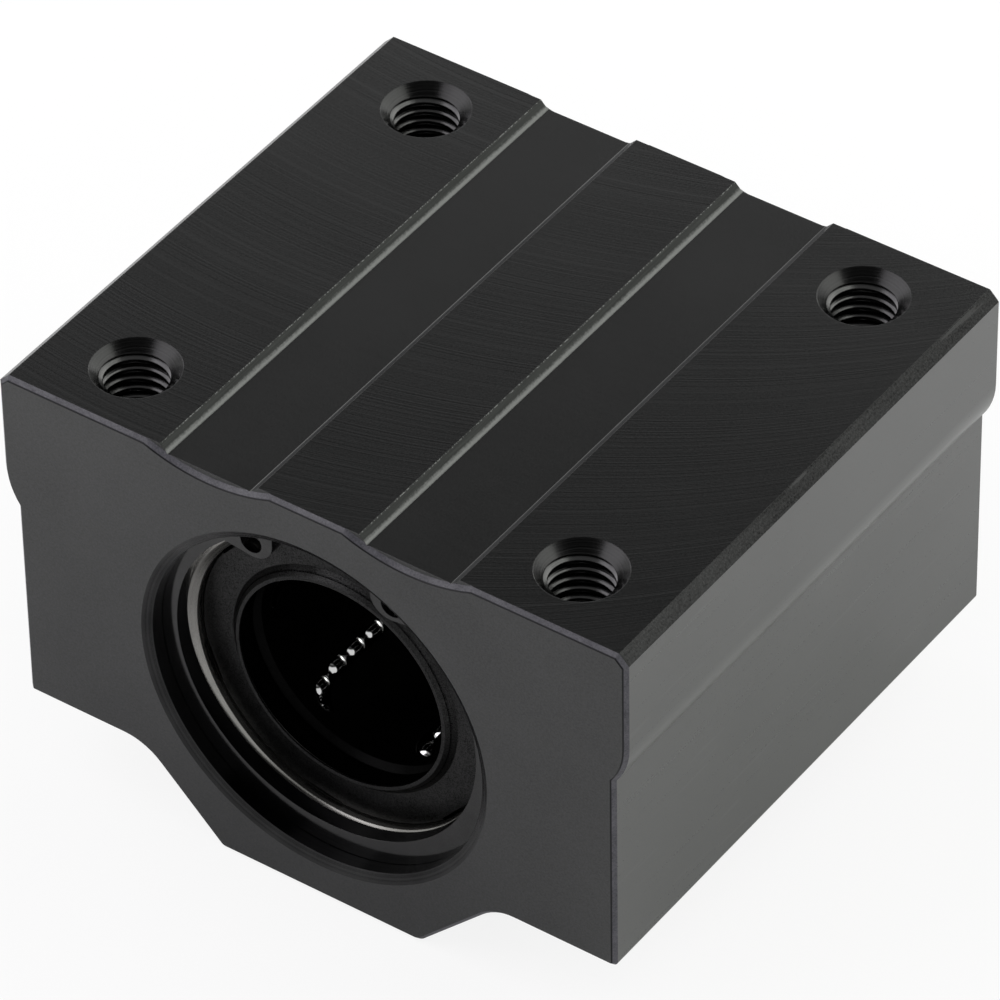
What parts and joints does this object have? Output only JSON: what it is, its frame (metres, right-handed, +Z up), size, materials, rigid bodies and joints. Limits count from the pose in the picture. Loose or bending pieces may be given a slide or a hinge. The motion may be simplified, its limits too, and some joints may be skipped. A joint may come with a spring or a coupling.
{
  "type": "linear bearing block",
  "caption": "Machined black anodised aluminium block that carries a sealed recirculating-ball bushing for a round shaft, held by circlips, with tapped mounting holes.",
  "frame": {"origin": "on the shaft axis at the middle of the block's length", "axes": "+Y along the shaft, away from the end that the picture shows; +Z up, out of the tapped mounting face; +X across the block"},
  "size_m": [0.076, 0.067, 0.0515],
  "materials": {
    "housing_aluminium": "black anodised, satin",
    "bearing_steel": "ground",
    "cage_plastic": "moulded",
    "ring_steel": "spring steel",
    "seal_rubber": "moulded",
    "circlip_steel": "black oxide",
    "ball_steel": "polished"
  },
  "bodies": {
    "root": {"housing": "housing_aluminium", "bearing_shell": "bearing_steel", "ball_cage": "cage_plastic", "front_retaining_ring": "ring_steel", "rear_retaining_ring": "ring_steel", "front_seal": "seal_rubber", "rear_seal": "seal_rubber", "front_circlip": "circlip_steel", "rear_circlip": "circlip_steel", "ball_circuit_1": "ball_steel", "ball_circuit_2": "ball_steel", "ball_circuit_3": "ball_steel", "ball_circuit_4": "ball_steel", "ball_circuit_5": "ball_steel", "ball_circuit_6": "ball_steel"}
  },
  "joints": []
}
